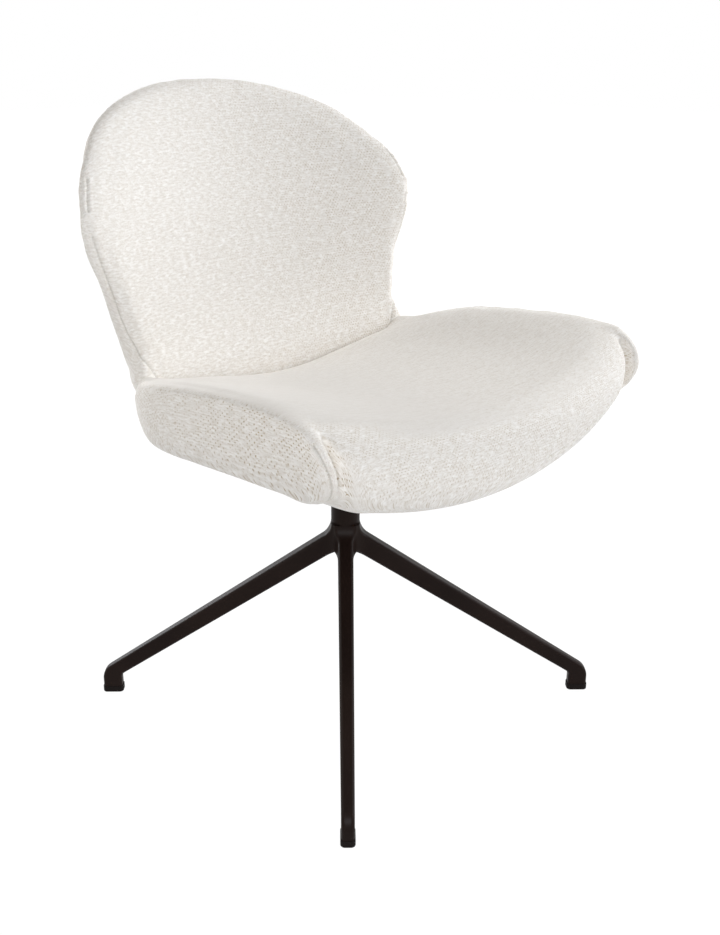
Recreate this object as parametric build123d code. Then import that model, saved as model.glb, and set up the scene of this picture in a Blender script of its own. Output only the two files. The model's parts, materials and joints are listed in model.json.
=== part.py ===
"""Swivel dining chair: an upholstered petal seat and back that turn on a four-legged steel column.

Millimetres. Z is up, the sitter faces -Y, and +X is the sitter's left.
The origin is on the floor, on the axis that the seat turns about.
"""
from build123d import *
from math import atan, atan2, cos, degrees, hypot, radians, sin, tan
import os

# ---- star base ----
stance_radius = 325.0          # swivel axis to the middle of each foot
first_leg_angle = 45.5         # the legs point to the corners of the seat
leg_slope = 33.0               # fall of a leg below the horizontal, degrees
foot_bend_height = 30.0        # where a leg's centre line passes over the middle of its foot
leg_root_depth = 27.5          # the leg's section, upright at the column and at the foot
leg_tip_depth = 19.5
leg_root_width = 20.4
leg_tip_width = 15.6
leg_edge_radius = 4.5
root_web_radius = 20.0         # weld blend between two neighbouring legs
root_throat_radius = 22.0      # weld blend between the top of a leg and the column
foot_length = 26.0             # along the leg
foot_shoulder_radius = 24.0
foot_heel_radius = 9.0

column_diameter = 38.0
column_wall = 3.0
column_bottom = 219.0
column_top = 380.0
plug_flange = 2.5
plug_depth = 14.0

glide_height = 9.0
glide_flare = 1.0              # the glide stands this far outside the foot
glide_round = 1.5
peg_diameter = 7.0
peg_length = 12.0

# ---- swivel ----
spindle_diameter = 25.0
spindle_bottom = 246.0
running_gap = 0.05             # radial clearance of the spindle in its bushes
press_gap = 0.02               # radial clearance of pieces pressed into the tube or a foot
bush_length = 20.0
bush_flange = 3.0
lower_bush_bottom = 256.0
washer_thickness = 2.0
collar_diameter = 46.0
collar_height = 6.0
ring_thickness = 1.6
ring_diameter = 30.0
ring_groove_depth = 1.2
ring_mouth = 9.0
ring_play = 0.3

# ---- seat plate, board and their fasteners ----
plate_size = 190.0
plate_thickness = 4.0
plate_corner = 22.0
screw_spacing = 150.0
screw_diameter = 6.0
screw_head_diameter = 13.0
screw_head_height = 4.0
screw_hole_gap = 0.3
nut_barrel_diameter = 9.0
nut_barrel_recess = 3.0        # the barrel stops this far above the underside of the board
nut_flange_diameter = 17.0
nut_flange_thickness = 1.2
board_thickness = 12.0
board_half_width = 170.0
board_front = -235.0
board_rear = 104.0
board_corner = 80.0
pocket_margin = 8.0            # the pocket in the underside stands off the plate by this much
cover_thickness = 2.0
cover_half_width = 165.0
cover_front = -215.0
cover_rear = 78.0
cover_corner = 70.0

# ---- seat form ----
seat_front = -292.0            # foremost point of the cushion, on the centre line
bow_radius = 850.0             # bow of the cushion's front edge, seen from above
crown_front = -255.0           # where the crown of the seat starts and ends
crown_rear = 128.0
height_front = 476.0
height_rear = 440.0
crown_rise = 13.5
dish_radius = 1190.0           # the seat is dished across its width
nose_level = 454.0             # height of the cushion's foremost line
nose_reach = 46.0              # depth of the rounded nose, above and below that line
nose_under = 59.0
seat_bottom = 363.0            # lowest line of the bowl-shaped underside
keel_radius = 660.0            # the underside rises to both sides
heel_start = 20.0              # from here back it rises to the rear too
heel_radius = 900.0
seat_half_width = 287.0
seat_rear = 178.0
rear_corner_radius = 190.0
wing_thickness = 20.0
wing_waist = 4.0               # the sides are drawn in by this much between corner and tip
wing_draw_in = 96.0            # the wings' lower edges lie this far inside their crests
wing_draw_height = 130.0
wing_draw_power = 3.9
wing_tip_reach = 260.0
wing_tip_sweep = 172.0
wing_tip_level = 468.0
wing_tip_half_height = 67.0
wing_tip_bevel = 12.0          # the front edge of a wing runs back by this much, inside to outside
wing_tip_tuck = 68.0           # below its level the tip turns in under the seat
corner_gap = 6.0               # the cushion's front corners stand off the wings' tips
tip_thinning = 4.0             # the wings get thinner over the same length
gap_start = 0.62               # share of the wings' length, from the rear corner, where both begin
seam_gap = 0.3                 # between the cushion or the back and the inside of the wings
corner_round = 34.0            # the cushion's front corners, seen from above

# ---- back form ----
back_top = 804.5
back_foot_level = 430.0        # the back's centre line is measured from this height
back_foot_reach = 115.0        # front of the back at that height, on the centre line
back_top_reach = 260.0         # the same at the top
back_bottom = 411.0            # the back's lower end, hidden between cushion and wings
hollow_foot = 0.0003           # one over the radius of the back's hollow, seen from above
hollow_gain = 0.00165          # the hollow gets rounder by this much up to the shoulders
hollow_share = 0.62            # share of the back's height over which it does so
back_centre_thickness = 36.0   # front to rear, measured level
back_rim_thickness = 20.0
back_waist_thickness = 55.0    # the rim again, where the back enters the seat
band_front = 0.14              # the edge band's two seams, as shares of the thickness
band_rear = 0.84
shell_front = 0.42             # the moulded shell's two faces, as shares of the thickness
shell_rear = 0.66
glue_share = 0.01              # the shell's faces stand off pad and cover by this share
band_depth = 7.0
back_half_width = 264.0        # at its widest
shoulder_level = 670.0
crown_half = (133.0, 16.5)     # a point of the top edge: from the middle, and below the top
shoulder_top = (62.0, 48.5)    # points round the shoulder: inside the widest, and below the top
shoulder_side = (15.0, 99.5)
flank_half_width = 242.0
flank_level = 577.0
waist_half_width = 219.0
waist_level = 492.0
back_foot_half_width = 222.0
back_foot_edge_level = 455.0

# ---- brackets between back and board ----
bracket_spacing = 212.0
bracket_width = 36.0
bracket_thickness = 4.0
bracket_toe = 48.0             # front end of a bracket's foot
bracket_bend = 120.0           # front face of the upright at the top of the foot
bracket_rise = 70.0
bracket_screw_diameter = 5.0
bracket_screw_length = 10.0
bracket_head_diameter = 10.0
bracket_head_height = 2.5
foot_screw_places = (62.0, 90.0)        # along Y
upright_screw_places = (34.0, 56.0)     # up the upright, from its bend

# ---- worked out from the sizes above ----
column_radius = column_diameter / 2
bore_radius = column_radius - column_wall
spindle_radius = spindle_diameter / 2
foot_toe = stance_radius + foot_length / 2
foot_heel = stance_radius - foot_length / 2
washer_bottom = column_top + bush_flange
collar_bottom = washer_bottom + washer_thickness
plate_bottom = collar_bottom + collar_height
board_bottom = plate_bottom + plate_thickness
board_top = board_bottom + board_thickness
ring_top = lower_bush_bottom - ring_play
back_lean = atan2(back_top_reach - back_foot_reach, back_top - back_foot_level)
diagonal = cos(radians(45))
far_out = 400.0                # half the width of bodies that only serve to cut others


def disc(radius, bottom, height):
    return Pos(0, 0, bottom) * Cylinder(radius, height, align=(Align.CENTER, Align.CENTER, Align.MIN))


def ring(outer, inner, bottom, height):
    return disc(outer, bottom, height) - disc(inner, bottom - 1, height + 2)


def block(x, y, z):
    """A box from three (low, high) pairs."""
    size = Box(x[1] - x[0], y[1] - y[0], z[1] - z[0], align=(Align.MIN, Align.MIN, Align.MIN))
    return Pos(x[0], y[0], z[0]) * size


def line(a, b):
    return Edge.make_line(Vector(*a), Vector(*b))


def arc(a, middle, b):
    return Edge.make_three_point_arc(Vector(*a), Vector(*middle), Vector(*b))


def loft_through(wires):
    return Part() + Solid.make_loft(wires)


def group(pieces):
    return Compound(children=[solid for piece in pieces for solid in piece.solids()])


# ---------------------------------------------------------------- star base

def leg_axis_height(radius):
    return foot_bend_height + (stance_radius - radius) * tan(radians(leg_slope))


def leg_top_height(radius):
    half = (leg_root_depth + (leg_tip_depth - leg_root_depth) * radius / stance_radius) / 2
    return leg_axis_height(radius) + half / cos(radians(leg_slope))


def leg_under_height(radius):
    return 2 * leg_axis_height(radius) - leg_top_height(radius)


def leg_side_view():
    """A leg and its foot seen from the side, on the XZ plane, running out along +X."""
    pitch = atan((leg_top_height(0) - leg_top_height(foot_toe)) / foot_toe)
    throat_x = column_radius + root_throat_radius
    throat_z = leg_top_height(throat_x) + root_throat_radius / cos(pitch)
    tangent = (throat_x - root_throat_radius * sin(pitch), throat_z - root_throat_radius * cos(pitch))
    bisector = hypot(1 + sin(pitch), cos(pitch))
    middle = (
        throat_x - root_throat_radius * (1 + sin(pitch)) / bisector,
        throat_z - root_throat_radius * cos(pitch) / bisector,
    )
    outline = Curve() + [
        Line((0, throat_z), (column_radius, throat_z)),
        ThreePointArc((column_radius, throat_z), middle, tangent),
        Polyline(
            tangent,
            (foot_toe, leg_top_height(foot_toe)),
            (foot_toe, glide_height),
            (foot_heel, glide_height),
            (foot_heel, leg_under_height(foot_heel)),
            (0, leg_under_height(0)),
            (0, throat_z),
        ),
    ]
    view = make_face(outline)
    shoulder = min(view.vertices(), key=lambda v: hypot(v.X - foot_toe, v.Y - leg_top_height(foot_toe)))
    view = fillet(shoulder, foot_shoulder_radius)
    heel = min(view.vertices(), key=lambda v: hypot(v.X - foot_heel, v.Y - leg_under_height(foot_heel)))
    return Plane.XZ * fillet(heel, foot_heel_radius)


def leg_plan_view():
    """The same leg from above: a mitre against its neighbours, a web, and a tapering arm."""
    root = leg_root_width / 2
    tip = leg_tip_width / 2
    centre = root + root_web_radius
    mitre = centre - root_web_radius * diagonal
    middle = (
        centre + root_web_radius * cos(radians(247.5)),
        centre + root_web_radius * sin(radians(247.5)),
    )
    half = Curve() + [
        Line((0, 0), (mitre, mitre)),
        ThreePointArc((mitre, mitre), middle, (centre, root)),
        Polyline((centre, root), (foot_toe, tip), (foot_toe, 0), (0, 0)),
    ]
    face = make_face(half)
    return face + mirror(face, Plane.XZ)


def foot_peg_hole(gap):
    peg = Cylinder(peg_diameter / 2 + gap, peg_length, align=(Align.CENTER, Align.CENTER, Align.MIN))
    return Pos(stance_radius, 0, glide_height) * peg


def leg():
    side = extrude(leg_side_view(), root_web_radius + leg_root_width, both=True)
    plan = extrude(leg_plan_view(), column_top)
    arm = side & plan
    long_edges = [e for e in arm.edges() if e.length > stance_radius / 2]
    arm = fillet(long_edges, leg_edge_radius)
    return arm - disc(column_radius, 0, column_top) - foot_peg_hole(press_gap)


def glide():
    """A plastic glide: a flared pad under the foot and a peg that is pressed into it."""
    length = foot_length + 2 * glide_flare
    width = leg_tip_width + 2 * glide_flare
    foot = RectangleRounded(length, width, leg_edge_radius + glide_flare)
    pad = extrude(Pos(stance_radius, 0, 0) * foot, glide_height)
    pad = fillet(pad.faces().sort_by(Axis.Z)[0].edges(), glide_round)
    pad = fillet(pad.faces().sort_by(Axis.Z)[-1].edges(), glide_flare * 0.9)
    return pad + foot_peg_hole(0)


def column_tube():
    bottom = column_bottom + plug_flange
    return ring(column_radius, bore_radius, bottom, column_top - bottom)


def column_plug():
    head = disc(column_radius, column_bottom, plug_flange)
    return head + disc(bore_radius - press_gap, column_bottom + plug_flange, plug_depth)


# ---------------------------------------------------------------- swivel

def bush(bottom):
    return ring(bore_radius - press_gap, spindle_radius + running_gap, bottom, bush_length)


def upper_bush():
    flange = ring(column_radius, spindle_radius + running_gap, column_top, bush_flange)
    return bush(column_top - bush_length) + flange


def thrust_washer():
    return ring(column_radius, spindle_radius + running_gap, washer_bottom, washer_thickness)


def spindle():
    groove = ring(
        spindle_radius + 1, spindle_radius - ring_groove_depth, ring_top - ring_thickness, ring_thickness
    )
    return disc(spindle_radius, spindle_bottom, board_bottom - spindle_bottom) - groove


def retaining_ring():
    bottom = ring_top - ring_thickness
    whole = ring(ring_diameter / 2, spindle_radius - ring_groove_depth, bottom, ring_thickness)
    mouth = block((0, ring_diameter), (-ring_mouth / 2, ring_mouth / 2), (spindle_bottom, column_top))
    return whole - mouth


def spindle_collar():
    return ring(collar_diameter / 2, spindle_radius, collar_bottom, collar_height)


# ---------------------------------------------------------------- seat plate, board and fasteners

def at_plate_corners(piece):
    half = screw_spacing / 2
    return [Pos(x, y, 0) * piece for x in (-half, half) for y in (-half, half)]


def without(body, cutters):
    for cutter in cutters:
        body = body - cutter
    return body


def seat_plate():
    plan = RectangleRounded(plate_size, plate_size, plate_corner)
    plate = extrude(Pos(0, 0, plate_bottom) * plan, plate_thickness)
    hole = disc(screw_diameter / 2 + screw_hole_gap, plate_bottom - 1, plate_thickness + 2)
    bore = disc(spindle_radius, plate_bottom - 1, plate_thickness + 2)
    return without(plate, [bore, *at_plate_corners(hole)])


def plate_screw():
    screw = disc(screw_head_diameter / 2, plate_bottom - screw_head_height, screw_head_height)
    screw = fillet(screw.edges().sort_by(Axis.Z)[0], screw_head_height / 2)
    return screw + disc(screw_diameter / 2, plate_bottom, board_top - plate_bottom)


def board_nut():
    bottom = board_bottom + nut_barrel_recess
    barrel = ring(nut_barrel_diameter / 2, screw_diameter / 2, bottom, board_top - bottom)
    return barrel + ring(nut_flange_diameter / 2, screw_diameter / 2, board_top, nut_flange_thickness)


def board_outline():
    """The whole room that the board takes up, without its holes."""
    middle = (board_front + board_rear) / 2
    plan = RectangleRounded(2 * board_half_width, board_rear - board_front, board_corner)
    return extrude(Pos(0, middle, board_bottom) * plan, board_thickness)


def seat_board():
    barrel = disc(nut_barrel_diameter / 2, board_bottom + nut_barrel_recess, board_thickness)
    shank = disc(screw_diameter / 2 + screw_hole_gap, board_bottom - 1, board_thickness)
    return without(board_outline(), at_plate_corners(barrel) + at_plate_corners(shank) + foot_screws())


# ---------------------------------------------------------------- back brackets

def bracket():
    """A strap on the board that bends up and follows the lean of the back, on the YZ plane."""
    top = board_top + bracket_thickness
    step = bracket_rise * tan(back_lean)
    thick = bracket_thickness / cos(back_lean)
    profile = Polyline(
        (bracket_toe, board_top),
        (bracket_bend + thick, board_top),
        (bracket_bend + thick, top),
        (bracket_bend + thick + step, top + bracket_rise),
        (bracket_bend + step, top + bracket_rise),
        (bracket_bend, top),
        (bracket_toe, top),
        close=True,
    )
    return extrude(Plane.YZ * make_face(profile), bracket_width / 2, both=True)


def at_brackets(piece):
    return [Pos(side * bracket_spacing / 2, 0, 0) * piece for side in (-1, 1)]


def bracket_screw():
    """Head up, standing on the origin, with its shank below."""
    head = disc(bracket_head_diameter / 2, 0, bracket_head_height)
    return head + disc(bracket_screw_diameter / 2, -bracket_screw_length, bracket_screw_length)


def foot_screws():
    top = board_top + bracket_thickness
    return [piece for y in foot_screw_places for piece in at_brackets(Pos(0, y, top) * bracket_screw())]


def upright_screws():
    screws = []
    for up in upright_screw_places:
        y = bracket_bend + up * sin(back_lean)
        z = board_top + bracket_thickness + up * cos(back_lean)
        screws += at_brackets(Pos(0, y, z) * Rot(90 - degrees(back_lean), 0, 0) * bracket_screw())
    return screws


# ---------------------------------------------------------------- seat form

def seat_height(x, y):
    """Top of the seat: it falls to the rear with a slight crown, and rises to both sides."""
    t = (y - crown_front) / (crown_rear - crown_front)
    along = height_front + (height_rear - height_front) * t + crown_rise * 4 * t * (1 - t)
    return along + x * x / (2 * dish_radius)


def underside(x, y):
    """Height of the bowl-shaped underside."""
    return seat_bottom + x * x / (2 * keel_radius) + max(0.0, y - heel_start) ** 2 / (2 * heel_radius)


def low_share(z):
    """1 at the underside of the seat, falling to 0 where the wings stop drawing in."""
    return 1 - min(1.0, max(0.0, (z - seat_bottom) / wing_draw_height))


def wing_inset(z):
    """How far the wings are drawn in at a height."""
    return wing_draw_in * low_share(z) ** wing_draw_power


def top_line(x, front, rear):
    middle = (front + rear) / 2
    return arc(
        (x, front, seat_height(x, front)),
        (x, middle, seat_height(x, middle)),
        (x, rear, seat_height(x, rear)),
    )


def bottom_lines(x, front, rear):
    """The underside cut lengthwise, from the rear to the front."""
    middle = (heel_start + rear) / 2
    heel = (x, heel_start, underside(x, 0))
    return [
        arc((x, rear, underside(x, rear)), (x, middle, underside(x, middle)), heel),
        line(heel, (x, front, underside(x, 0))),
    ]


def seat_room():
    """Everything between the underside and the top surface of the seat, as a body that cuts others."""
    front = seat_front - 20
    rear = seat_rear + 20
    wires = []
    for x in (-300.0, -150.0, 0.0, 150.0, 300.0):
        edges = [
            *bottom_lines(x, front, rear),
            line((x, front, underside(x, 0)), (x, front, seat_height(x, front))),
            top_line(x, front, rear),
            line((x, rear, seat_height(x, rear)), (x, rear, underside(x, rear))),
        ]
        wires.append(Wire(edges))
    return loft_through(wires)


def plan_section(z, inward, stand_off, corner):
    """Plan of the seat at a height: round rear corners, sides that turn in towards the front.

    inward moves it in from the outside of the wings, stand_off moves only the front of its sides,
    and corner rounds the front corners.
    """
    outer = seat_half_width - wing_inset(z) - inward
    bend_y = seat_rear - rear_corner_radius
    centre_x = seat_half_width - rear_corner_radius
    radius = outer - centre_x
    front = seat_front - 30

    def side_point(t):
        tuck = wing_tip_tuck * (low_share(z) * t) ** 2
        gap = stand_off * max(0.0, t - gap_start) / (1 - gap_start)
        return (outer - 4 * wing_waist * t * (1 - t) - tuck - gap, bend_y - (wing_tip_reach + bend_y) * t)

    end = 1.0 - corner / wing_tip_reach
    x, y = side_point(end)
    half = [((x - corner, front), (x - corner, y - corner))]
    if corner:
        half.append(((x - corner, y - corner), (x - corner * 0.29, y - corner * 0.71), (x, y)))
    half.append((side_point(end), side_point(end / 2 + 0.25), side_point(0.5)))
    half.append((side_point(0.5), side_point(0.25), side_point(0)))
    half.append(
        (
            (outer, bend_y),
            (centre_x + radius * diagonal, bend_y + radius * diagonal),
            (centre_x, bend_y + radius),
        )
    )
    half.append(((centre_x, bend_y + radius), (0, bend_y + radius)))
    edges = []
    for side in (1, -1):
        for points in half[::side]:
            places = [(side * px, py, z) for px, py in points]
            edges.append(line(*places) if len(places) == 2 else arc(*places))
    edges.append(line((corner - x, front, z), (x - corner, front, z)))
    return Wire(edges)


def plan_body(inward, stand_off=0.0, corner=0.0):
    levels = [seat_bottom - 2 + h for h in (0, 7, 15, 25, 38, 52, 70, 95, 125, 165)]
    return loft_through([plan_section(z, inward, stand_off, corner) for z in levels])


def tip_room(side):
    """The side view of one wing, rounded at its tip, swept along the bevel of its front edge."""
    middle = wing_tip_sweep - wing_tip_reach
    bevel = wing_tip_bevel / wing_thickness
    ahead = bevel * (seat_half_width - wing_thickness)
    tip = Pos(middle - ahead, wing_tip_level) * Ellipse(wing_tip_sweep, wing_tip_half_height)
    behind = Pos(middle - ahead + far_out, wing_tip_level) * Rectangle(2 * far_out, far_out)
    return extrude(Plane.YZ * (tip + behind), hypot(1, bevel) * far_out, dir=(side, bevel, 0))


def wings_room():
    """The wall that the wings form round the cushion and the foot of the back."""
    return (plan_body(0) - plan_body(wing_thickness, -tip_thinning)) & seat_room()


def wing(side):
    return wings_room() & tip_room(side)


def nose_line(x):
    """Foremost point of the cushion at a distance from the middle."""
    return seat_front + x * x / (2 * bow_radius)


def cushion_section(x):
    """The cushion cut lengthwise: a bowed underside, a round nose, a crowned top."""
    front = nose_line(x)
    over = front + nose_reach
    under = front + nose_under
    rear = seat_rear
    low = underside(x, 0)
    top = seat_height(x, over)
    edges = [
        *bottom_lines(x, under, rear),
        arc(
            (x, under, low),
            (x, front + nose_under * 0.27, low + (nose_level - low) * 0.32),
            (x, front, nose_level),
        ),
        arc(
            (x, front, nose_level),
            (x, front + nose_reach * 0.24, nose_level + (top - nose_level) * 0.66),
            (x, over, top),
        ),
        top_line(x, over, rear),
        line((x, rear, seat_height(x, rear)), (x, rear, underside(x, rear))),
    ]
    return Wire(edges)


def whole_cushion():
    sections = [cushion_section(seat_half_width * k / 4) for k in range(-4, 5)]
    return loft_through(sections) & plan_body(wing_thickness + seam_gap, corner_gap, corner_round)


def plate_pocket():
    side = plate_size + 2 * pocket_margin
    plan = RectangleRounded(side, side, plate_corner + pocket_margin)
    return extrude(Pos(0, 0, seat_bottom - 10) * plan, board_bottom - seat_bottom + 10)


def cover_recess():
    """The room of the panel in the underside, open below."""
    middle = (cover_front + cover_rear) / 2
    plan = RectangleRounded(2 * cover_half_width, cover_rear - cover_front, cover_corner)
    prism = extrude(Pos(0, middle, seat_bottom - 10) * plan, board_bottom - seat_bottom)
    return prism - Pos(0, 0, cover_thickness) * seat_room()


def underside_cover():
    """A thin cloth panel let into the underside, open round the plate's pocket."""
    return (cover_recess() & seat_room()) - plate_pocket()


def seat_cushion():
    room = back_layer(-0.01, 1.4)
    nut_room = at_plate_corners(disc(nut_flange_diameter / 2, board_top, nut_flange_thickness))
    body = whole_cushion() - room - board_outline() - plate_pocket() - cover_recess()
    return without(body, nut_room + at_brackets(bracket()) + foot_screws())


# ---------------------------------------------------------------- back form

def rise(z):
    """0 at the foot of the back, 1 at its top."""
    return (z - back_foot_level) / (back_top - back_foot_level)


def hollow(z):
    return hollow_foot + hollow_gain * min(1.0, max(0.0, rise(z) / hollow_share))


def back_face(x, z, share):
    """Y of a surface inside the back: share 0 is the front, 1 the rear."""
    spread = (x / back_half_width) ** 2
    low = max(0.0, 1 - (z - back_foot_level) / (shoulder_level - back_foot_level))
    rim = back_rim_thickness + (back_waist_thickness - back_rim_thickness) * low
    thickness = back_centre_thickness + (rim - back_centre_thickness) * spread
    centre = back_foot_reach + (back_top_reach - back_foot_reach) * rise(z)
    return centre - hollow(z) * x * x / 2 + thickness * share


def back_layer(front_share, rear_share):
    """The back between two of its inner surfaces, wider than the real one and open at the rim."""
    wires = []
    reach = back_half_width + 25
    levels = 9
    for k in range(levels):
        z = back_bottom + (back_top + 15 - back_bottom) * k / (levels - 1)

        def p(x, share):
            return (x, back_face(x, z, share), z)

        edges = [
            arc(p(-reach, front_share), p(0, front_share), p(reach, front_share)),
            line(p(reach, front_share), p(reach, rear_share)),
            arc(p(reach, rear_share), p(0, rear_share), p(-reach, rear_share)),
            line(p(-reach, rear_share), p(-reach, front_share)),
        ]
        wires.append(Wire(edges))
    return loft_through(wires)


def back_outline(inset):
    """The back seen from the front: a wide arch with round shoulders that narrows to the waist."""
    low = back_bottom - 10
    half = Curve() + [
        Spline(
            (0, back_top - inset),
            (crown_half[0], back_top - crown_half[1] - inset),
            (back_half_width - shoulder_top[0] - inset * 0.6, back_top - shoulder_top[1] - inset * 0.8),
            (back_half_width - shoulder_side[0] - inset * 0.9, back_top - shoulder_side[1] - inset * 0.4),
            (back_half_width - inset, shoulder_level),
            (flank_half_width - inset, flank_level),
            (waist_half_width - inset, waist_level),
            (back_foot_half_width - inset, back_foot_edge_level),
            tangents=[(1, 0), (0.8, -1)],
        ),
        Polyline(
            (back_foot_half_width - inset, back_foot_edge_level),
            (back_foot_half_width - inset, low),
            (0, low),
            (0, back_top - inset),
        ),
    ]
    face = make_face(half)
    return face + mirror(face, Plane.YZ)


def back_prism(inset):
    return extrude(Plane.XZ * back_outline(inset), -far_out)


def back_nodes():
    """Pad, shell, cover and edge band of the back; their foot stands inside the wings."""
    whole = back_prism(0)
    inner = back_prism(band_depth)
    foot_room = seat_room() - plan_body(wing_thickness + seam_gap)
    straps = at_brackets(bracket())
    band = (back_layer(band_front, band_rear) & whole) - inner
    shell = back_layer(shell_front + glue_share, shell_rear - glue_share) & inner
    nodes = {
        "back_pad": without((back_layer(0, shell_front) & whole) - band, straps + upright_screws()),
        "back_shell": without(shell, straps + upright_screws()),
        "back_cover": without((back_layer(shell_rear, 1) & whole) - band, straps + upright_screws()),
        "back_edge_band": band,
    }
    return {name: body - foot_room for name, body in nodes.items()}


# ---------------------------------------------------------------- the chair

def base_nodes():
    arm = leg()
    pad = glide()
    nodes = {}
    for k, name in enumerate(("rear_left", "rear_right", "front_right", "front_left")):
        turn = Rot(0, 0, first_leg_angle + 90 * k)
        nodes["leg_" + name] = turn * arm
        nodes["glide_" + name] = turn * pad
    nodes["column_tube"] = column_tube()
    nodes["column_plug"] = column_plug()
    nodes["lower_bush"] = bush(lower_bush_bottom)
    nodes["upper_bush"] = upper_bush()
    return nodes


def seat_nodes():
    screws = foot_screws() + upright_screws()
    return {
        "thrust_washer": thrust_washer(),
        "spindle": spindle(),
        "retaining_ring": retaining_ring(),
        "spindle_collar": spindle_collar(),
        "seat_plate": seat_plate(),
        "plate_screws": group(at_plate_corners(plate_screw())),
        "board_nuts": group(at_plate_corners(board_nut())),
        "seat_board": seat_board(),
        "back_brackets": group([without(strap, screws) for strap in at_brackets(bracket())]),
        "bracket_screws": group(screws),
        "underside_cover": underside_cover(),
        "wing_left": wing(1),
        "wing_right": wing(-1),
        "seat_cushion": seat_cushion(),
    }


if __name__ == "__main__":
    os.makedirs("parts", exist_ok=True)
    for name, shape in {**base_nodes(), **seat_nodes(), **back_nodes()}.items():
        print(name, len(shape.solids()), round(shape.volume), shape.is_valid)
        export_step(shape, f"parts/{name}.step")
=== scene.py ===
"""Looks of the swivel dining chair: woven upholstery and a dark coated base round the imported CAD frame.

Metres. Z is up, the sitter faces -Y, and +X is the sitter's left.
"""

import json
import math

import bmesh
import bpy
import numpy as np
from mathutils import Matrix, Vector
from mathutils.bvhtree import BVHTree
from mathutils.kdtree import KDTree


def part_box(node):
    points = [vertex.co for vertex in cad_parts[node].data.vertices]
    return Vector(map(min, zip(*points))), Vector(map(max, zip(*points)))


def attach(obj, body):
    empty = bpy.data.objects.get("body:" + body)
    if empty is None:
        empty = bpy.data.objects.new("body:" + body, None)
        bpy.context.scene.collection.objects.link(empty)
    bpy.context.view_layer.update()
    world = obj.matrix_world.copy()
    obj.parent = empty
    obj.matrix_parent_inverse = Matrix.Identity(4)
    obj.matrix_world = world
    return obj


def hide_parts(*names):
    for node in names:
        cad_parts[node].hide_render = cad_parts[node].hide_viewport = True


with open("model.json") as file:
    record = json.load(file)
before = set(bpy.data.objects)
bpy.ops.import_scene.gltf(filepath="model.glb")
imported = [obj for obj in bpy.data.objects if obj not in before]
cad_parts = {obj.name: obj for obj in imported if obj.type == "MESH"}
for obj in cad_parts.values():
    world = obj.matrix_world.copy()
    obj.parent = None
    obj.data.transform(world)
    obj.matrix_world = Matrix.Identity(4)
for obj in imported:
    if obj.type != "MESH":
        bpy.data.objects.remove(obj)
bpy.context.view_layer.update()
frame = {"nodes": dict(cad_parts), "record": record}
scene = bpy.context.scene

# A pair of distances or of levels says where something fades in: from the first to the second.

# ---- the photograph's view ----
camera_place = (-0.9806, -0.9806, 0.860)
camera_pitch = 20.838          # degrees below the horizon
camera_turn = -45.0            # degrees about Z
camera_lens = 43.74
camera_shift = 0.0156

# ---- light and stage ----
lamp_distance = 3.0
lamp_size = 1.4
lamp_aim = (0, 0, 0.5)
lamps = (                      # name, bearing and height in degrees, watts, tint
    ("right_light", 0, 35, 66.0, (0.98, 1.0, 1.03)),
    ("front_right_light", 315, 12, 35.0, (0.97, 1.0, 1.05)),
    ("front_left_light", 225, 18, 43.0, (0.98, 1.0, 1.04)),
    ("left_light", 180, 30, 7.0, (1.0, 1.0, 1.0)),
    ("rear_left_light", 135, 35, 14.0, (1.05, 1.0, 0.92)),
    ("rear_light", 90, 12, 48.0, (0.97, 1.0, 1.05)),
)
floor_size = 12.0
floor_glow = 1.08
floor_span = (0.7, 1.6)        # distance from the chair over which the floor turns to plain white
floor_white_near = 0.90        # share of plain white under the chair
world_fill = 0.03

# ---- cover meshes ----
voxel = 0.004
merge_distance = 1e-6
relax_step = 0.5
refine_reach = 0.005           # faces this near a seam are divided once more
look_rounds = 12               # how often the surface's directions are averaged for the cloth
least_level = 0.05             # keeps the division by a level direction's length in bounds

# ---- swelling of the covers ----
swell_frames = 20
swell_pressure = 4.0
swell_most = 0.003             # no point of a cover moves further than this
swell_quality = 4
swell_stretch = 12
swell_bend = 0.6
swell_rounds = 4               # how often the movement is averaged
inward_undone = 0.85           # share of the movement inwards that is taken back
board_margin = 0.012           # the seat's cover is held this near to its board
seat_hold_level = 0.385        # and below this level
back_hold_level = 0.44

# ---- rounding of the seat's cover ----
crest_depth = 0.03
crest_span = (0.20, 0.25)
crest_lift = 0.0078            # makes up for what the rounding takes from the wings' crests
lift_span = (0.12, 0.26)
lift_levels = (0.40, 0.46)
hem_lift = 0.006               # the same for the wings' lower edge
hem_levels = (0.385, 0.425)
hem_span = (0.10, 0.18)
hem_lift_start = (-0.02, 0.10)
hem_lift_end = (0.16, 0.22)
tip_span = (-0.22, -0.15)
fillet_place = (0.226, 0.118)  # where a wing's crest runs up to the back's edge
fillet_lift = 0.007
fillet_reach = 0.018
fillet_depth = 0.03
corner_push = 0.002            # fullness of the seat's rear corners
corner_length = (0.0, 0.08)
corner_side = (0.15, 0.2)
corner_depth = (-0.02, 0.0)

# ---- rounding of the back's cover ----
rim_lift = 0.0125              # fullness of the back's rim on its front side
foot_drop = 0.012              # how far the back's foot is drawn down into the seat
foot_levels = (0.440, 0.472)
foot_draw_in = 0.012           # how far its rear side is drawn in
foot_draw_on = 0.008           # and forwards
foot_flare = 0.013             # how much the back's front widens just above the seat
flare_levels = (0.468, 0.510)

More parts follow.
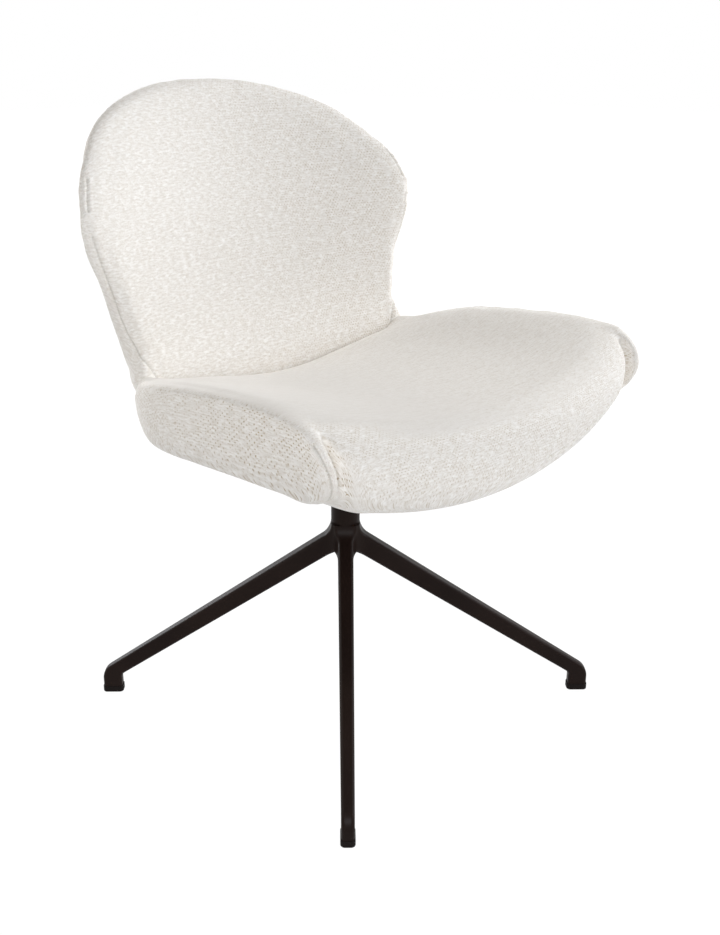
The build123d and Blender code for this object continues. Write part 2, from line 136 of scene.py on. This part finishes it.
# ---- seams ----
seam_width = 0.0016
seam_depth = 0.0013
lip_height = 0.35              # of the raised lip beside a seam, as a share of the seam's depth
lip_place = 2.2                # both as shares of the seam's width
lip_width = 0.9
mark_width = 0.55              # of a seam's dark line, as a share of the seam's width
tip_seam_points = 240
tip_seam_start = 156           # degrees round the wing's tip
tip_seam_turn = 68
tip_panel = 0.0152             # width of the narrow panel on a wing's front edge, at its upper end
tip_panel_taper = 0.62
tip_panel_power = 1.25
tip_panel_ahead = 0.003
nose_seam_points = 400
nose_seam_start = 0.045        # from the middle to the sitter's left
nose_seam_length = 0.19
nose_seam_height = 0.045       # above the underside
band_step = 0.0005
band_tolerance = 0.03
back_seam_middle = 0.62        # a level between the back's foot and its top
seam_foot_narrowing = 0.040

# ---- weave ----
dot_spacing = 0.0046           # of the gaps in the weave, along a row
row_spacing = 0.0032
drift_scale = 130.0
stroke_scale = (120, 430, 1)
speck_scale = (210, 560, 1)
streak_scale = (48, 230, 1)

# the seat's form, as in the CAD source
crown_front = -0.255
crown_length = 0.383
height_front = 0.476
height_fall = 0.036
crown_rise = 0.0135
seat_half_width = 0.287
wing_thickness = 0.020
wing_tip_reach = 0.260
wing_tip_sweep = 0.172
wing_tip_level = 0.468
wing_tip_half_height = 0.067
wing_tip_bevel = 0.012
wing_tip_tuck = 0.068
wing_draw_in = 0.096
wing_draw_height = 0.130
wing_draw_power = 3.9
wing_waist = 0.004
wing_bend = -0.012             # where the rear corner ends and the side begins
dish_radius = 1.190
seat_bottom = 0.363
keel_radius = 0.660
heel_start = 0.020
heel_radius = 0.900

# the back's form, as in the CAD source
back_foot_level = 0.430
back_top = 0.8045
back_foot_reach = 0.115
back_top_reach = 0.260
hollow_foot = 0.3
hollow_gain = 1.65
hollow_share = 0.62
back_half_width = 0.264
shoulder_level = 0.670
back_centre_thickness = 0.036
back_rim_thickness = 0.020
back_waist_thickness = 0.055
band_front = 0.14
band_rear = 0.84


# ---------------------------------------------------------------- forms of seat and back

def seat_height(x, y):
    """Top of the seat."""
    t = (y - crown_front) / crown_length
    return height_front - height_fall * t + crown_rise * 4 * t * (1 - t) + x * x / (2 * dish_radius)


def underside(x, y):
    """Height of the bowl-shaped underside."""
    rise = np.maximum(0.0, y - heel_start)
    return seat_bottom + x * x / (2 * keel_radius) + rise ** 2 / (2 * heel_radius)


def wing_outside(y, z):
    """Half the seat's width over the wings, at a place along them."""
    low = 1 - np.clip((z - seat_bottom) / wing_draw_height, 0, 1)
    t = (wing_bend - y) / (wing_tip_reach + wing_bend)
    tuck = wing_tip_tuck * (low * np.maximum(t, 0)) ** 2
    return seat_half_width - wing_draw_in * low ** wing_draw_power - wing_waist * 4 * t * (1 - t) - tuck


def back_front(x, z):
    """Y of the back's front face."""
    rise = (z - back_foot_level) / (back_top - back_foot_level)
    hollow = hollow_foot + hollow_gain * np.clip(rise / hollow_share, 0, 1)
    return back_foot_reach + (back_top_reach - back_foot_reach) * rise - hollow * x * x / 2


def back_thickness(x, z):
    """From the back's front face to its rear face."""
    low = np.clip(1 - (z - back_foot_level) / (shoulder_level - back_foot_level), 0, None)
    rim = back_rim_thickness + (back_waist_thickness - back_rim_thickness) * low
    return back_centre_thickness + (rim - back_centre_thickness) * (x / back_half_width) ** 2


# ---------------------------------------------------------------- mesh helpers

def points(mesh):
    co = np.empty(len(mesh.vertices) * 3, np.float32)
    mesh.vertices.foreach_get("co", co)
    return co.reshape(-1, 3).astype(float)


def set_points(mesh, co):
    mesh.vertices.foreach_set("co", co.astype(np.float32).ravel())
    mesh.update()


def normals(mesh):
    out = np.empty(len(mesh.vertices) * 3, np.float32)
    mesh.vertex_normals.foreach_get("vector", out)
    return out.reshape(-1, 3).astype(float)


def edge_ends(mesh):
    ends = np.empty(len(mesh.edges) * 2, np.int32)
    mesh.edges.foreach_get("vertices", ends)
    return ends.reshape(-1, 2)


def averaged(values, ends, rounds=1):
    """Each vertex's values, averaged over its neighbours as often as rounds says."""
    a, b = ends[:, 0], ends[:, 1]
    size = len(values)
    count = np.maximum(np.bincount(a, minlength=size) + np.bincount(b, minlength=size), 1)[:, None]
    for _ in range(rounds):
        total = np.empty_like(values)
        for k in range(values.shape[1]):
            total[:, k] = np.bincount(a, values[b, k], size) + np.bincount(b, values[a, k], size)
        values = total / count
    return values


def relax(mesh, share, rounds):
    """Smooths a mesh; share, from 0 to 1, says how much each vertex takes part."""
    co = points(mesh)
    ends = edge_ends(mesh)
    for _ in range(rounds):
        co += (averaged(co, ends) - co) * share[:, None] * relax_step
    set_points(mesh, co)


def ease(value, start, end):
    """0 before the start, 1 past the end, and a smooth step between them."""
    t = np.clip((value - start) / (end - start), 0, 1)
    return t * t * (3 - 2 * t)


def new_object(name, data):
    obj = bpy.data.objects.new(name, data)
    scene.collection.objects.link(obj)
    return obj


def object_from(bm, name):
    """An object made of a bmesh, which is freed."""
    mesh = bpy.data.meshes.new(name)
    bm.to_mesh(mesh)
    bm.free()
    return new_object(name, mesh)


def merged_copy(nodes):
    """A bmesh of CAD nodes, with the corners of their loose triangles joined."""
    bm = bmesh.new()
    for node in nodes:
        bm.from_mesh(frame["nodes"][node].data)
    bmesh.ops.remove_doubles(bm, verts=bm.verts, dist=merge_distance)
    return bm


def finished_mesh(obj):
    """Puts the object's mesh with its modifiers applied in place of the old one."""
    bpy.context.view_layer.update()
    shown = obj.evaluated_get(bpy.context.evaluated_depsgraph_get())
    mesh = bpy.data.meshes.new_from_object(shown)
    obj.modifiers.clear()
    old = obj.data
    obj.data = mesh
    bpy.data.meshes.remove(old)


def union_of(name, nodes):
    """One closed, even mesh round copies of CAD nodes."""
    obj = object_from(merged_copy(nodes), name)
    remesh = obj.modifiers.new("Remesh", "REMESH")
    remesh.mode = "VOXEL"
    remesh.voxel_size = voxel
    finished_mesh(obj)
    return obj


def swell(obj, still):
    """Blows the cover up a little between the vertices that are held still."""
    rest = points(obj.data)
    outward = normals(obj.data)
    held = obj.vertex_groups.new(name="held")
    held.add(np.flatnonzero(still).tolist(), 1.0, "REPLACE")
    cloth = obj.modifiers.new("Cloth", "CLOTH")
    cloth.settings.quality = swell_quality
    cloth.settings.use_pressure = True
    cloth.settings.uniform_pressure_force = swell_pressure
    cloth.settings.effector_weights.gravity = 0
    cloth.settings.vertex_group_mass = "held"
    cloth.settings.tension_stiffness = swell_stretch
    cloth.settings.compression_stiffness = swell_stretch
    cloth.settings.bending_stiffness = swell_bend
    cloth.collision_settings.use_collision = False
    cloth.point_cache.frame_end = swell_frames
    for number in range(1, swell_frames + 1):
        scene.frame_set(number)
    finished_mesh(obj)
    moved = points(obj.data) - rest
    inward = np.minimum(0.0, (moved * outward).sum(axis=1))
    moved -= inward_undone * outward * inward[:, None]
    length = np.linalg.norm(moved, axis=1)
    moved *= (swell_most * np.tanh(length / swell_most) / np.maximum(length, 1e-9))[:, None]
    set_points(obj.data, rest + averaged(moved, edge_ends(obj.data), swell_rounds))
    scene.frame_set(1)
    obj.vertex_groups.clear()


def divide(obj):
    step = obj.modifiers.new("Subdivision", "SUBSURF")
    step.levels = 1
    step.render_levels = 1
    finished_mesh(obj)


def refine(mesh, near):
    """Divides the edges whose vertices are both near a seam."""
    bm = bmesh.new()
    bm.from_mesh(mesh)
    bm.verts.ensure_lookup_table()
    chosen = [e for e in bm.edges if near[e.verts[0].index] and near[e.verts[1].index]]
    bmesh.ops.subdivide_edges(bm, edges=chosen, cuts=1, use_grid_fill=True)
    bm.to_mesh(mesh)
    bm.free()


def distance_to(co, path):
    """How far each point is from a line through the given points, which lie close together."""
    tree = KDTree(len(path))
    for k, p in enumerate(path):
        tree.insert(p, k)
    tree.balance()
    return np.array([tree.find(p)[2] for p in co])


def search_tree(mesh):
    bm = bmesh.new()
    bm.from_mesh(mesh)
    tree = BVHTree.FromBMesh(bm)
    bm.free()
    return tree


def onto(tree, path):
    """The points of a path, moved to the nearest places on a surface."""
    return [tree.find_nearest(Vector(p))[0] for p in path]


def keep_value(mesh, name, values):
    """Keeps a number for each vertex as an attribute that materials read."""
    mark = mesh.attributes.new(name, "FLOAT", "POINT")
    mark.data.foreach_set("value", values.astype(np.float32))


def press_seams(mesh, distance):
    """Draws the surface in along its seams, and keeps how dark each seam is."""
    across = distance / seam_width
    depth = np.exp(-across ** 2) - lip_height * np.exp(-((across - lip_place) / lip_width) ** 2)
    set_points(mesh, points(mesh) - normals(mesh) * (seam_depth * depth)[:, None])
    keep_value(mesh, "seam", np.exp(-(distance / (mark_width * seam_width)) ** 2))


def sew(obj, seams):
    """Divides a cover and presses its seams. Gives its places before and its softened directions after."""
    divide(obj)
    mesh = obj.data
    path = seams(mesh)
    refine(mesh, distance_to(points(mesh), path) < refine_reach)
    co = points(mesh)
    press_seams(mesh, distance_to(co, path))
    return co, averaged(normals(mesh), edge_ends(mesh), look_rounds)


def lay_cloth(mesh, place, outward, drop):
    """Keeps where each vertex lies on its flat cut of cloth: the place, pushed outwards by the drop."""
    flat = place + outward * drop[:, None]
    corner = np.empty(len(mesh.loops), np.int32)
    mesh.loops.foreach_get("vertex_index", corner)
    layer = mesh.uv_layers.new(name="cloth")
    layer.data.foreach_set("uv", flat[corner].astype(np.float32).ravel())


def set_finish(obj, finish):
    obj.data.materials.clear()
    obj.data.materials.append(finish)


# ---------------------------------------------------------------- materials

def material(name):
    made = bpy.data.materials.new(name)
    made.use_nodes = True
    tree = made.node_tree
    tree.nodes.clear()
    out = tree.nodes.new("ShaderNodeOutputMaterial")
    shader = tree.nodes.new("ShaderNodeBsdfPrincipled")
    tree.links.new(shader.outputs["BSDF"], out.inputs["Surface"])
    return made, tree, shader


def linked(tree, kind, inputs=(), **settings):
    """A node with its inputs set to values or linked to other nodes' outputs."""
    node = tree.nodes.new(kind)
    for key, value in settings.items():
        setattr(node, key, value)
    for key, value in dict(inputs).items():
        if isinstance(value, bpy.types.NodeSocket):
            tree.links.new(value, node.inputs[key])
        else:
            node.inputs[key].default_value = value
    return node


def maths(tree, operation, *values):
    return linked(tree, "ShaderNodeMath", dict(enumerate(values)), operation=operation).outputs[0]


def product(tree, *values):
    """The values multiplied, from the first to the last."""
    total = values[0]
    for value in values[1:]:
        total = maths(tree, "MULTIPLY", total, value)
    return total


def mixed(tree, factor, a, b):
    """Number a where the factor is 0, and b where it is 1."""
    return linked(tree, "ShaderNodeMix", {0: factor, 2: a, 3: b}).outputs[0]


def blended(tree, factor, a, b):
    """Colour a where the factor is 0, and b where it is 1."""
    return linked(tree, "ShaderNodeMix", {0: factor, 6: a, 7: b}, data_type="RGBA").outputs[2]


def noise(tree, vector, scale, detail=2.0, rough=0.5):
    inputs = {"Vector": vector, "Scale": scale, "Detail": detail, "Roughness": rough}
    return linked(tree, "ShaderNodeTexNoise", inputs).outputs["Fac"]


def stretched(tree, vector, scale, turn=0.0):
    inputs = {"Vector": vector, "Scale": scale, "Rotation": (0, 0, turn)}
    return linked(tree, "ShaderNodeMapping", inputs).outputs["Vector"]


def ramp(tree, factor, low, high):
    inputs = {"Value": factor, "From Min": low, "From Max": high}
    return linked(tree, "ShaderNodeMapRange", inputs, interpolation_type="SMOOTHSTEP").outputs["Result"]


def kept(tree, name):
    """A number that a cover keeps for each vertex."""
    return linked(tree, "ShaderNodeAttribute", attribute_name=name).outputs["Fac"]


def object_place(tree):
    return linked(tree, "ShaderNodeTexCoord").outputs["Object"]


def seen_directly(tree):
    """1 for what the camera sees, itself or in a reflection, and 0 for what only lights the scene."""
    path = linked(tree, "ShaderNodeLightPath")
    return maths(tree, "MAXIMUM", path.outputs["Is Camera Ray"], path.outputs["Is Glossy Ray"])


def set_relief(tree, shader, height, strength, distance):
    bump = linked(tree, "ShaderNodeBump", {"Height": height, "Strength": strength, "Distance": distance})
    tree.links.new(bump.outputs["Normal"], shader.inputs["Normal"])


def srgb(r, g, b):
    """A colour given as 0 to 255, as the linear values that a shader takes."""
    def channel(v):
        v /= 255
        return v / 12.92 if v <= 0.04045 else ((v + 0.055) / 1.055) ** 2.4
    return (channel(r), channel(g), channel(b), 1.0)


def weave(tree, across):
    """The gaps between the yarns and the strokes of the nap, with the weft along the given direction."""
    uv = linked(tree, "ShaderNodeUVMap", uv_map="cloth").outputs["UV"]
    if across:
        uv = stretched(tree, uv, (1, 0.6, 1), math.radians(90))
    drift = maths(tree, "MULTIPLY_ADD", noise(tree, uv, drift_scale, 2.0), 3.0, -1.5)
    parts = linked(tree, "ShaderNodeSeparateXYZ", {"Vector": uv})
    warp = maths(tree, "MULTIPLY_ADD", parts.outputs["X"], 2 * math.pi / dot_spacing, drift)
    weft = maths(tree, "MULTIPLY_ADD", parts.outputs["Y"], math.pi / row_spacing, drift)
    gaps = product(tree, maths(tree, "SINE", warp), maths(tree, "SINE", weft))
    strokes = noise(tree, stretched(tree, uv, stroke_scale), 1.0, 3.0, 0.62)
    specks = noise(tree, stretched(tree, uv, speck_scale), 1.0, 2.0, 0.55)
    streaks = noise(tree, stretched(tree, uv, streak_scale), 1.0, 3.0, 0.6)
    return gaps, strokes, specks, streaks


def upholstery():
    """The undyed cloth: open and rough on the flanks, smoothed on the seat's top where it is sat on, and
    there, mostly on the near half, coloured darker as painted shade; on the back the pits and flecks grow
    denser towards its +X side, partly as painted shade.
    """
    yarn_shade, yarn_light = srgb(226, 220, 211), srgb(251, 248, 243)
    # The smoothing tone is partly painted shade: it colours the seat's top darker, mostly on its near half.
    cloud_tone, brushed_and_shade_tone, swept_tone = srgb(228, 221, 211), srgb(222, 217, 210), srgb(204, 194, 178)
    spot_tone, pit_tone, seam_tone = srgb(202, 190, 172), srgb(178, 158, 126), srgb(158, 150, 136)

    made, tree, shader = material("upholstery_weave")
    flank, brushed_and_shade, top = kept(tree, "flank"), kept(tree, "smooth"), kept(tree, "top")
    # On the back this share rises towards the +X side, so the denser pits and flecks there are partly painted
    # shade.
    open_weave_and_shade, seam = kept(tree, "open"), kept(tree, "seam")
    place = object_place(tree)
    along, across = weave(tree, False), weave(tree, True)
    gaps, strokes, specks, streaks = (mixed(tree, flank, a, b) for a, b in zip(along, across))
    sleek_and_shade = product(tree, brushed_and_shade, 0.65)
    rough = maths(tree, "SUBTRACT", 1.0, sleek_and_shade)
    strokes = mixed(tree, product(tree, top, 0.75), strokes, streaks)
    patches = product(
        tree,
        ramp(tree, noise(tree, place, 75.0, 3.0, 0.7), 0.38, 0.60),
        open_weave_and_shade,
        maths(tree, "SUBTRACT", 1.0, product(tree, top, 0.8)),
    )
    cloud = ramp(tree, noise(tree, place, 150.0, 2.0, 0.6), 0.30, 0.70)
    pits = product(tree, ramp(tree, gaps, 0.35, 0.95), patches, rough)
    swept = product(tree, top, rough, ramp(tree, streaks, 0.50, 0.66))
    spots = product(
        tree, ramp(tree, specks, 0.54, 0.70), rough, maths(tree, "MULTIPLY_ADD", open_weave_and_shade, 0.5, 0.28)
    )
    colour = blended(tree, ramp(tree, strokes, 0.32, 0.68), yarn_shade, yarn_light)
    colour = blended(tree, product(tree, cloud, 0.42), colour, cloud_tone)
    # Painted shade: the seat's smooth top, mostly its near half, takes a darker tone here.
    colour = blended(tree, sleek_and_shade, colour, brushed_and_shade_tone)
    colour = blended(tree, product(tree, swept, 0.3), colour, swept_tone)
    colour = blended(tree, spots, colour, spot_tone)
    colour = blended(tree, pits, colour, pit_tone)
    colour = blended(tree, product(tree, seam, 0.45), colour, seam_tone)
    tree.links.new(colour, shader.inputs["Base Color"])
    relief = product(tree, maths(tree, "ADD", product(tree, pits, -0.6), strokes), rough)
    set_relief(tree, shader, relief, 0.30, 0.0010)
    shader.inputs["Roughness"].default_value = 0.92
    shader.inputs["Specular IOR Level"].default_value = 0.2
    shader.inputs["Sheen Weight"].default_value = 0.25
    shader.inputs["Sheen Roughness"].default_value = 0.45
    shader.inputs["Sheen Tint"].default_value = srgb(245, 243, 240)
    return made


def coated_steel():
    """A dark brown coat with a faint cloud and a very fine grain."""
    made, tree, shader = material("dark_brown_coat")
    place = object_place(tree)
    grain = noise(tree, place, 900.0, 2.0)
    cloud = noise(tree, place, 9.0, 3.0)
    colour = blended(tree, ramp(tree, cloud, 0.3, 0.7), srgb(25, 16, 13), srgb(32, 22, 18))
    tree.links.new(colour, shader.inputs["Base Color"])
    tree.links.new(maths(tree, "MULTIPLY_ADD", cloud, 0.10, 0.36), shader.inputs["Roughness"])
    set_relief(tree, shader, grain, 0.12, 0.0002)
    shader.inputs["Specular IOR Level"].default_value = 0.08
    return made


def plain_finish(name, light, dark, rough, metal=0.0, scale=(300.0, 300.0, 300.0), shine=0.5):
    """A finish with a fine grain between two colours."""
    made, tree, shader = material(name)
    grain = noise(tree, stretched(tree, object_place(tree), scale), 1.0, 4.0, 0.6)
    tree.links.new(blended(tree, ramp(tree, grain, 0.3, 0.7), light, dark), shader.inputs["Base Color"])
    tree.links.new(maths(tree, "MULTIPLY_ADD", grain, 0.15, rough), shader.inputs["Roughness"])
    set_relief(tree, shader, grain, 0.1, 0.0003)
    shader.inputs["Metallic"].default_value = metal
    shader.inputs["Specular IOR Level"].default_value = shine
    return made


# ---------------------------------------------------------------- the seat's cover

def tip_seam(side):
    """The seam round a wing's narrow front panel: it leaves the wing's inner edge and comes back to it."""
    path = []
    for k in range(tip_seam_points):
        t = k / (tip_seam_points - 1)
        turn = math.radians(tip_seam_start + tip_seam_turn * t)
        y = wing_tip_sweep - wing_tip_reach + wing_tip_sweep * math.cos(turn)
        z = wing_tip_level + wing_tip_half_height * math.sin(turn)
        out = tip_panel * (1 - tip_panel_taper * t ** tip_panel_power)
        back = wing_tip_bevel * out / wing_thickness - tip_panel_ahead
        path.append((side * (wing_outside(y, z) - wing_thickness + out), y + back, z))
    return path


def nose_seam(tree):
    """The seam along the cushion's lower front edge, which runs out before the middle."""
    path = []
    for k in range(nose_seam_points):
        x = nose_seam_start + nose_seam_length * k / (nose_seam_points - 1)
        start = Vector((x, -0.5, underside(x, 0.0) + nose_seam_height))
        hit = tree.ray_cast(start, Vector((0, 1, 0)))[0]
        if hit is not None:
            path.append(hit)
    return path


def seat_seams(mesh):
    """Points along the seams of the seat."""
    tree = search_tree(mesh)
    return onto(tree, tip_seam(-1)) + onto(tree, tip_seam(1)) + nose_seam(tree)


def round_seat(mesh):
    """Rounds the seat's hard edges, and gives back what that takes from its outline."""
    co = points(mesh)
    side = np.abs(co[:, 0])
    above = co[:, 2] - seat_height(co[:, 0], co[:, 1])
    outer = side + np.maximum(0, co[:, 1])
    crest = np.exp(-(above / crest_depth) ** 2) * ease(outer, *crest_span)
    hem = (1 - ease(co[:, 2], *hem_levels)) * ease(side, *hem_span)
    tip = 1 - ease(co[:, 1], *tip_span)
    relax(mesh, 1 - 0.6 * tip, 14)
    relax(mesh, np.maximum(0.7 * crest, 0.5 * hem) * (1 - 0.8 * tip), 24)
    co = points(mesh)
    co[:, 2] += crest_lift * ease(outer, *lift_span) * ease(co[:, 2], *lift_levels) * (1 - 0.7 * tip)
    corner = np.hypot(np.abs(co[:, 0]) - fillet_place[0], co[:, 1] - fillet_place[1])
    co[:, 2] += fillet_lift * np.exp(-(corner / fillet_reach) ** 2) * (above > -fillet_depth)
    co[:, 2] += hem_lift * hem * ease(-co[:, 1], *hem_lift_start) * (1 - ease(-co[:, 1], *hem_lift_end))
    co[:, 0] += (
        np.sign(co[:, 0]) * corner_push * ease(co[:, 1], *corner_length)
        * ease(side, *corner_side) * (1 - ease(above, *corner_depth))
    )
    set_points(mesh, co)
    return co


def seat_upholstery():
    obj = union_of("seat_upholstery", ["seat_cushion", "wing_left", "wing_right"])
    co = round_seat(obj.data)
    lo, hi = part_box("seat_board")
    near = (co > np.array(lo) - board_margin) & (co < np.array(hi) + board_margin)
    swell(obj, np.all(near, axis=1) | (co[:, 2] < seat_hold_level))
    co, direction = sew(obj, seat_seams)
    mesh = obj.data
    level = np.hypot(direction[:, 0], direction[:, 1])
    outward = direction[:, :2] / np.maximum(level, least_level)[:, None]
    drop = np.maximum(0.0, seat_height(co[:, 0], co[:, 1]) - co[:, 2])
    lay_cloth(mesh, co[:, :2], outward, drop)
    length = np.maximum(np.linalg.norm(direction, axis=1), 1e-6)
    flank = ease(np.abs(direction[:, 0]) / length, 0.45, 0.7)
    flatness = direction[:, 2] / length
    beside = ease(np.abs(co[:, 0]), 0.16, 0.23)
    top = beside * ease(flatness, 0.90, 0.985) + (1 - beside) * ease(flatness, 0.62, 0.90)
    keep_value(mesh, "flank", flank)
    keep_value(mesh, "top", top)
    keep_value(mesh, "open", 0.55 + 0.45 * flank * ease(-co[:, 1], 0.02, 0.18))
    # The smooth top, mostly on the seat's near half, also takes a darker tone there that is painted shade.
    keep_value(mesh, "smooth", top * (1 - 0.85 * ease(co[:, 0], -0.12, 0.06)))
    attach(obj, "seat")
    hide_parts("seat_cushion", "wing_left", "wing_right")
    return obj


# ---------------------------------------------------------------- the back's cover

def back_seams(mesh):
    """Points along the two seams of the back's edge, from the outline of the CAD band."""
    band = frame["nodes"]["back_edge_band"].data
    co = points(band)
    share = (co[:, 1] - back_front(co[:, 0], co[:, 2])) / back_thickness(co[:, 0], co[:, 2])
    on_front_edge = np.abs(share - band_front) <= band_tolerance
    path = []
    for face in band.polygons:
        centre = face.center
        facing = face.normal.x * centre.x + face.normal.z * (centre.z - back_seam_middle)
        if abs(face.normal.y) > 0.5 or facing < 0:
            continue
        for a, b in face.edge_keys:
            if not (on_front_edge[a] and on_front_edge[b]):
                continue
            for t in np.linspace(0, 1, max(2, int(np.linalg.norm(co[a] - co[b]) / band_step))):
                x, _, z = co[a] * (1 - t) + co[b] * t
                front, thick = back_front(x, z), back_thickness(x, z)
                mid = 0.32 * ease(z, 0.475, 0.55) + 0.38 * ease(z, 0.66, 0.76)
                x_in = x * (1 - seam_foot_narrowing * (1 - ease(z, 0.455, 0.50)))
                path.append((x_in, front + mid * thick, z))
                path.append((x, front + band_rear * thick, z))
    return onto(search_tree(mesh), path)


def round_back(mesh):
    """Rounds the back's edge, fills its rim, and draws its foot down into the seat."""
    relax(mesh, np.ones(len(mesh.vertices)), 10)
    ends = edge_ends(mesh)
    direction = averaged(normals(mesh), ends, 8)
    relax(mesh, ease(np.hypot(direction[:, 0], direction[:, 2]), 0.05, 0.4), 22)
    direction = averaged(normals(mesh), ends, 8)
    co = points(mesh)
    x, z = co[:, 0], co[:, 2]
    rim = ease(np.hypot(direction[:, 0], direction[:, 2]), 0.1, 0.7)
    share = (co[:, 1] - back_front(x, z)) / back_thickness(x, z)
    ahead = 1 - ease(share, 0.35, 0.9)
    full = (
        ahead * (0.5 + 0.65 * ease(z, 0.54, 0.66))
        * (1 - 0.5 * ease(z, 0.69, 0.74)) * (1 - 0.6 * ease(z, 0.75, 0.80))
    )
    full += (1 - ahead) * (0.20 + 0.40 * (1 - ease(z, 0.54, 0.62)))
    co[:, ::2] += direction[:, ::2] * (rim_lift * rim * full)[:, None]
    low = 1 - ease(z, *foot_levels)
    flare = foot_flare * (1 - ease(z, *flare_levels)) * rim * ahead
    co[:, 0] += np.sign(x) * flare
    co[:, 1] -= flare
    co[:, 0] -= np.sign(x) * foot_draw_in * low * (1 - ahead)
    co[:, 1] -= foot_draw_on * low * (1 - ahead)
    co[:, 2] -= foot_drop * low
    set_points(mesh, co)
    return co


def back_upholstery():
    obj = union_of("back_upholstery", ["back_pad", "back_shell", "back_cover", "back_edge_band"])
    co = round_back(obj.data)
    swell(obj, co[:, 2] < back_hold_level)
    co, direction = sew(obj, back_seams)
    mesh = obj.data
    level = np.hypot(direction[:, 0], direction[:, 2])
    outward = direction[:, ::2] / np.maximum(level, least_level)[:, None]
    drop = np.maximum(0.0, co[:, 1] - back_front(co[:, 0], co[:, 2])) * ease(level, 0.3, 0.9)
    lay_cloth(mesh, co[:, ::2], outward, drop)
    keep_value(mesh, "flank", np.zeros(len(co)))
    keep_value(mesh, "top", np.zeros(len(co)))
    # Pits and flecks grow denser towards the +X side: partly the weave, partly painted shade on the side
    # turned from the light.
    keep_value(mesh, "open", 0.1 + 0.5 * ease(co[:, 0], -0.15, 0.20))
    keep_value(mesh, "smooth", np.zeros(len(co)))
    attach(obj, "seat")
    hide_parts("back_pad", "back_cover", "back_edge_band")
    return obj


def dust_cover():
    """The thin cloth panel under the seat."""
    bm = merged_copy(["underside_cover"])
    long_edges = [e for e in bm.edges if e.calc_length() > 0.012]
    bmesh.ops.subdivide_edges(bm, edges=long_edges, cuts=2)
    obj = object_from(bm, "dust_cover")
    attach(obj, "seat")
    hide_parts("underside_cover")
    return obj


# ---------------------------------------------------------------- stage

def white_floor():
    """A matt floor that takes a faint shade near the chair and is seen as plain white further off."""
    bm = bmesh.new()
    bmesh.ops.create_grid(bm, x_segments=1, y_segments=1, size=floor_size)
    floor = object_from(bm, "floor")
    made, tree, shader = material("pale_floor")
    tree.nodes.remove(shader)
    distance = linked(tree, "ShaderNodeVectorMath", {0: object_place(tree)}, operation="LENGTH")
    away = ramp(tree, distance.outputs["Value"], *floor_span)
    white = maths(tree, "MULTIPLY_ADD", away, 1 - floor_white_near, floor_white_near)
    matt = linked(tree, "ShaderNodeBsdfDiffuse", {"Color": (0.8, 0.8, 0.8, 1)})
    glow = linked(tree, "ShaderNodeEmission", {"Color": (1, 1, 1, 1), "Strength": floor_glow})
    share = product(tree, seen_directly(tree), white)
    mix = linked(tree, "ShaderNodeMixShader", {0: share, 1: matt.outputs[0], 2: glow.outputs[0]})
    tree.links.new(mix.outputs[0], tree.nodes["Material Output"].inputs["Surface"])
    floor.data.materials.append(made)


def white_room():
    """A world that is seen as white and lights the chair only faintly."""
    world = bpy.data.worlds.new("white_room")
    scene.world = world
    world.use_nodes = True
    tree = world.node_tree
    tree.nodes.clear()
    plain = linked(tree, "ShaderNodeBackground", {"Color": (1, 1, 1, 1), "Strength": 1.0})
    fill = linked(tree, "ShaderNodeBackground", {"Color": (1, 1, 1, 1), "Strength": world_fill})
    shaders = {0: seen_directly(tree), 1: fill.outputs[0], 2: plain.outputs[0]}
    mix = linked(tree, "ShaderNodeMixShader", shaders)
    linked(tree, "ShaderNodeOutputWorld", {"Surface": mix.outputs[0]})


def soft_lamps():
    """Round lamps on a ball about the chair, all turned to its middle."""
    aim = Vector(lamp_aim)
    for name, bearing, height, power, tint in lamps:
        lamp = bpy.data.lights.new(name, "AREA")
        lamp.shape = "DISK"
        lamp.size = lamp_size
        lamp.energy = power
        lamp.color = tint
        obj = new_object(name, lamp)
        flat, rise = math.radians(bearing), math.radians(height)
        obj.location = aim + lamp_distance * Vector(
            (math.cos(rise) * math.cos(flat), math.cos(rise) * math.sin(flat), math.sin(rise)))
        obj.rotation_euler = (aim - obj.location).to_track_quat("-Z", "Y").to_euler()


def camera():
    data = bpy.data.cameras.new("camera")
    data.lens = camera_lens
    data.shift_x = camera_shift
    obj = new_object("camera", data)
    obj.location = camera_place
    obj.rotation_euler = (math.radians(90 - camera_pitch), 0, math.radians(camera_turn))
    scene.camera = obj


# ---------------------------------------------------------------- the chair

scene.view_settings.view_transform = "Standard"
camera()
white_floor()
white_room()
soft_lamps()

cloth_finish = upholstery()
for piece in (seat_upholstery(), back_upholstery()):
    set_finish(piece, cloth_finish)
    piece.data.shade_smooth()
dust_cloth = plain_finish("black_dust_cloth", srgb(38, 38, 38), srgb(22, 22, 22), 0.85, scale=(900, 900, 900))
set_finish(dust_cover(), dust_cloth)

turned_grain = (60, 60, 2400)
wood_grain = (9, 120, 120)
finishes = {
    "coated_steel": coated_steel(),
    "glide_plastic": plain_finish("black_glide", srgb(24, 19, 17), srgb(18, 14, 12), 0.6, shine=0.1),
    "bush_plastic": plain_finish("pale_bush", srgb(222, 219, 210), srgb(208, 205, 196), 0.4),
    "turned_steel": plain_finish(
        "turned_steel", srgb(176, 176, 178), srgb(150, 150, 153), 0.25, 1.0, turned_grain),
    "spring_steel": plain_finish("blackened_steel", srgb(70, 70, 72), srgb(52, 52, 54), 0.35, 1.0),
    "zinc_steel": plain_finish("zinc_plate", srgb(198, 200, 204), srgb(176, 178, 184), 0.3, 1.0),
    "plywood": plain_finish(
        "birch_plywood", srgb(216, 188, 148), srgb(192, 158, 116), 0.55, 0.0, wood_grain),
    "moulded_shell": plain_finish(
        "moulded_plywood", srgb(204, 174, 132), srgb(180, 146, 104), 0.55, 0.0, wood_grain),
}
slots = {part["node"]: part["material_slot"] for part in frame["record"]["subparts"]}
for node, obj in frame["nodes"].items():
    if not obj.hide_render:
        set_finish(obj, finishes[slots[node]])
